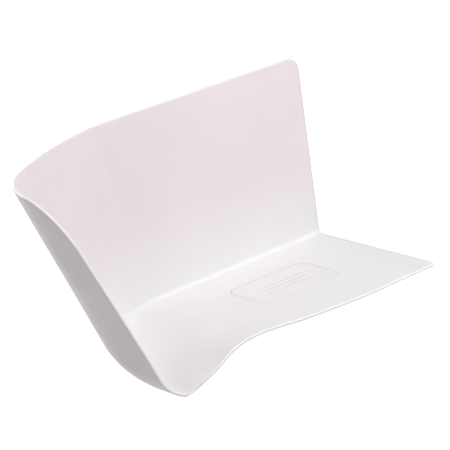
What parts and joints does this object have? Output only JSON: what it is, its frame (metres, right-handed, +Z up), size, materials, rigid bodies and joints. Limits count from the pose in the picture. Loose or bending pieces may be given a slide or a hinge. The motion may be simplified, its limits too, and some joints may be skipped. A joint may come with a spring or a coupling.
{
  "type": "arm guard",
  "caption": "Bent plastic guard with a flat flange that slides under a mattress, a tall back wall and a splayed, closed end beside a shallow gutter.",
  "frame": {"origin": "under the middle of the whole part's box, at the level of the gutter's lowest point", "axes": "+X along the crease towards the open end, +Y towards the back wall, +Z up, square to the flange"},
  "size_m": [0.401, 0.1714, 0.203],
  "materials": {
    "white_sheet": "satin white moulded sheet",
    "label_film": "satin film with a grey outline"
  },
  "bodies": {
    "root": {"guard_shell": "white_sheet", "flange_label": "label_film"}
  },
  "joints": []
}
